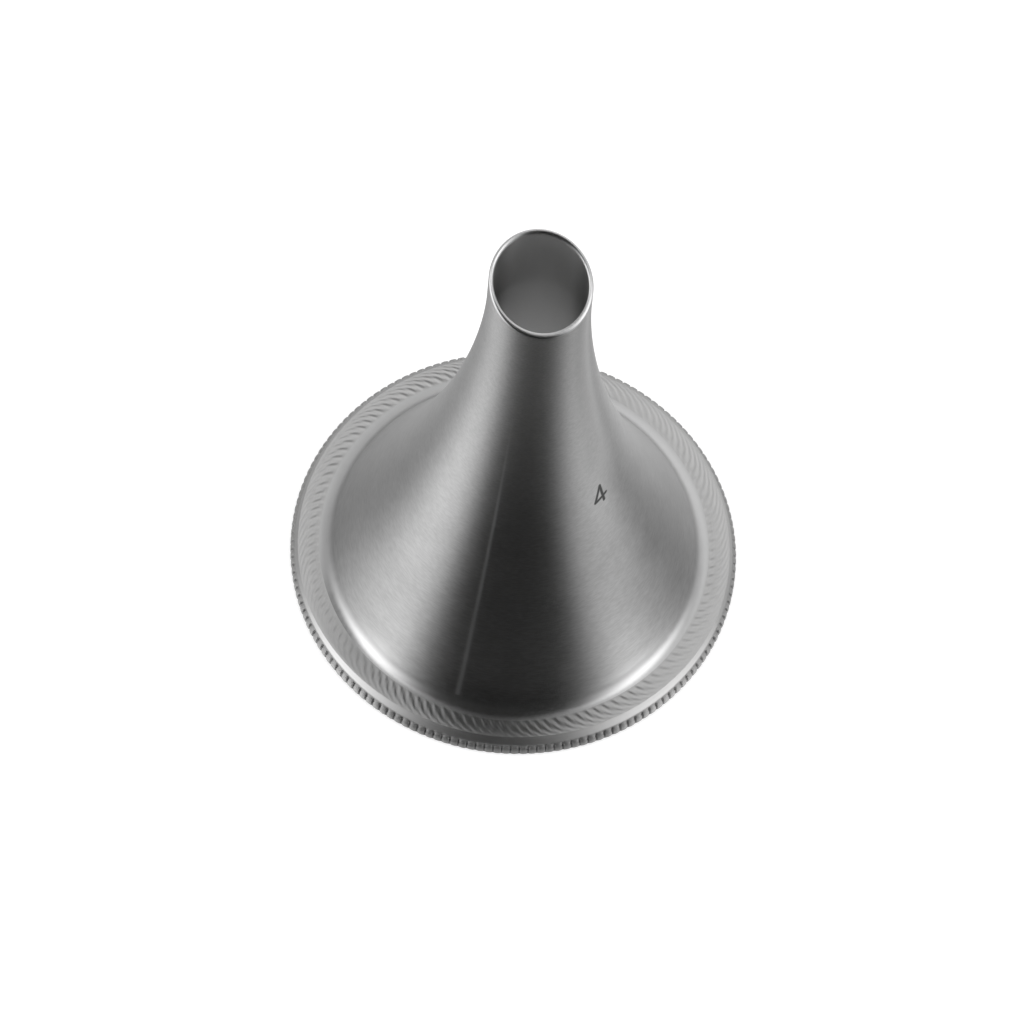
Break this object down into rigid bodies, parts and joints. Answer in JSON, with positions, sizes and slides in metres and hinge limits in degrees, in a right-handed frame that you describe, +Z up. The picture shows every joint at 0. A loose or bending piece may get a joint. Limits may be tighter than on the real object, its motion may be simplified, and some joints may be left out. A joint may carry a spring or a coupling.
{
  "type": "ear speculum",
  "caption": "Flared steel trumpet with a slanted open lip, brazed into a flat ring with a bevelled, straight-knurled edge.",
  "frame": {"origin": "centre of the ring's flat underside, which the part stands on", "axes": "+Z up the trumpet's axis towards the lip, -Y to the front, +X to the right; the lip is highest 115 degrees from +X towards +Y"},
  "size_m": [0.029, 0.029, 0.0379],
  "materials": {
    "funnel_steel": "satin, brushed round the axis",
    "rim_steel": "turned face, smooth bevel, knurled edge",
    "braze_filler": "smooth, blended"
  },
  "bodies": {
    "root": {"funnel": "funnel_steel", "rim_ring": "rim_steel", "braze_seam": "braze_filler"}
  },
  "joints": []
}
